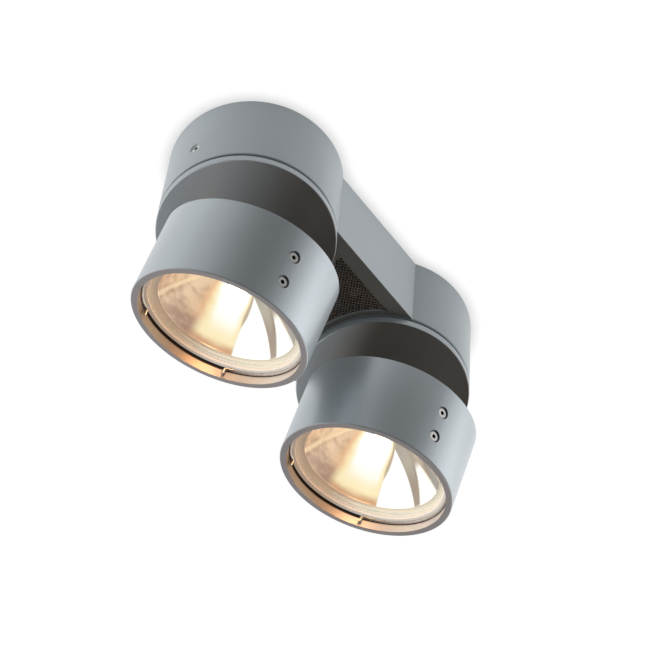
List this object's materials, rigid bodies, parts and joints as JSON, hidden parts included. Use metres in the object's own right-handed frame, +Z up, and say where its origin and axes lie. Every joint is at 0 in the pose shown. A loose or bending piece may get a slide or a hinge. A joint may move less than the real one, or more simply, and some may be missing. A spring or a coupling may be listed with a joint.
{
  "type": "ceiling spotlight",
  "caption": "Grey surface-mounted ceiling spotlight: round canopies joined by a vented bridge, each with a short turning and tilting cylindrical head and a lamp behind glass.",
  "frame": {"origin": "middle of the ceiling face, half way between the axes of the canopies, on the plane that lies on the ceiling", "axes": "+Z up out of the ceiling face into the ceiling, +X through both canopy axes, from the canopy with the visible side screw to the other, +Y to the side that the heads lean to"},
  "size_m": [0.2549, 0.1222, 0.1734],
  "materials": {
    "satin_grey": "satin anodised",
    "turntable_grey": "satin",
    "bronze_mesh": "satin",
    "bare_steel": "zinc plated",
    "spring_wire": "drawn wire",
    "bright_screws": "nickel plated",
    "zinc_die_cast": "as cast",
    "brass": "turned",
    "white_nylon": "plain",
    "black_case": "plain",
    "black_rubber": "matt",
    "pale_silicone": "satin",
    "glazed_ceramic": "glazed",
    "mirror_reflector": "mirror bright",
    "front_glass": "clear, polished",
    "lamp_glass": "clear quartz"
  },
  "bodies": {
    "base": {"canopy_1": "satin_grey", "canopy_2": "satin_grey", "spindle_bush_1": "white_nylon", "spindle_bush_2": "white_nylon", "slip_ring_1": "white_nylon", "slip_ring_2": "white_nylon", "bridge_housing": "satin_grey", "vent_grille": "bronze_mesh", "ceiling_bracket": "bare_steel", "transformer": "black_case", "transformer_screws": "bright_screws", "terminal_block": "white_nylon", "cable_grommet": "black_rubber", "side_screws": "bright_screws", "joint_blocks": "zinc_die_cast", "joint_screws": "bright_screws"},
    "pan_1": {"turntable_1": "turntable_grey", "spindle_1": "brass", "spring_washer_1": "bare_steel", "spindle_nut_1": "brass", "stop_pin_1": "bare_steel", "hinge_arm_1": "bare_steel", "arm_screws_1": "bright_screws"},
    "head_1": {"head_tube_1": "satin_grey", "hinge_lugs_1": "zinc_die_cast", "hinge_pin_1": "bare_steel", "friction_washers_1": "white_nylon", "lug_screws_1": "bright_screws", "head_screws_1": "bright_screws", "back_cover_1": "satin_grey", "lamp_carrier_1": "bare_steel", "lampholder_1": "glazed_ceramic", "lamp_1": "lamp_glass", "reflector_1": "mirror_reflector", "front_glass_1": "front_glass", "glass_seal_1": "pale_silicone", "retaining_ring_1": "spring_wire"},
    "pan_2": {"turntable_2": "turntable_grey", "spindle_2": "brass", "spring_washer_2": "bare_steel", "spindle_nut_2": "brass", "stop_pin_2": "bare_steel", "hinge_arm_2": "bare_steel", "arm_screws_2": "bright_screws"},
    "head_2": {"head_tube_2": "satin_grey", "hinge_lugs_2": "zinc_die_cast", "hinge_pin_2": "bare_steel", "friction_washers_2": "white_nylon", "lug_screws_2": "bright_screws", "head_screws_2": "bright_screws", "back_cover_2": "satin_grey", "lamp_carrier_2": "bare_steel", "lampholder_2": "glazed_ceramic", "lamp_2": "lamp_glass", "reflector_2": "mirror_reflector", "front_glass_2": "front_glass", "glass_seal_2": "pale_silicone", "retaining_ring_2": "spring_wire"}
  },
  "joints": [
    {"name": "pan_1", "type": "hinge", "parent": "base", "child": "pan_1", "pos_m": [-0.071, 0, 0], "axis": [0, 0, 1], "range_deg": [-175, 175]},
    {"name": "tilt_1", "type": "hinge", "parent": "pan_1", "child": "head_1", "pos_m": [-0.06232, 0.04594, -0.1143], "axis": [0.9826, -0.1857, 0], "range_deg": [-24.8, 65.2]},
    {"name": "pan_2", "type": "hinge", "parent": "base", "child": "pan_2", "pos_m": [0.071, 0, 0], "axis": [0, 0, 1], "range_deg": [-175, 175]},
    {"name": "tilt_2", "type": "hinge", "parent": "pan_2", "child": "head_2", "pos_m": [0.07743, 0.04631, -0.1143], "axis": [0.9905, -0.1374, 0], "range_deg": [-20.2, 69.8]}
  ]
}
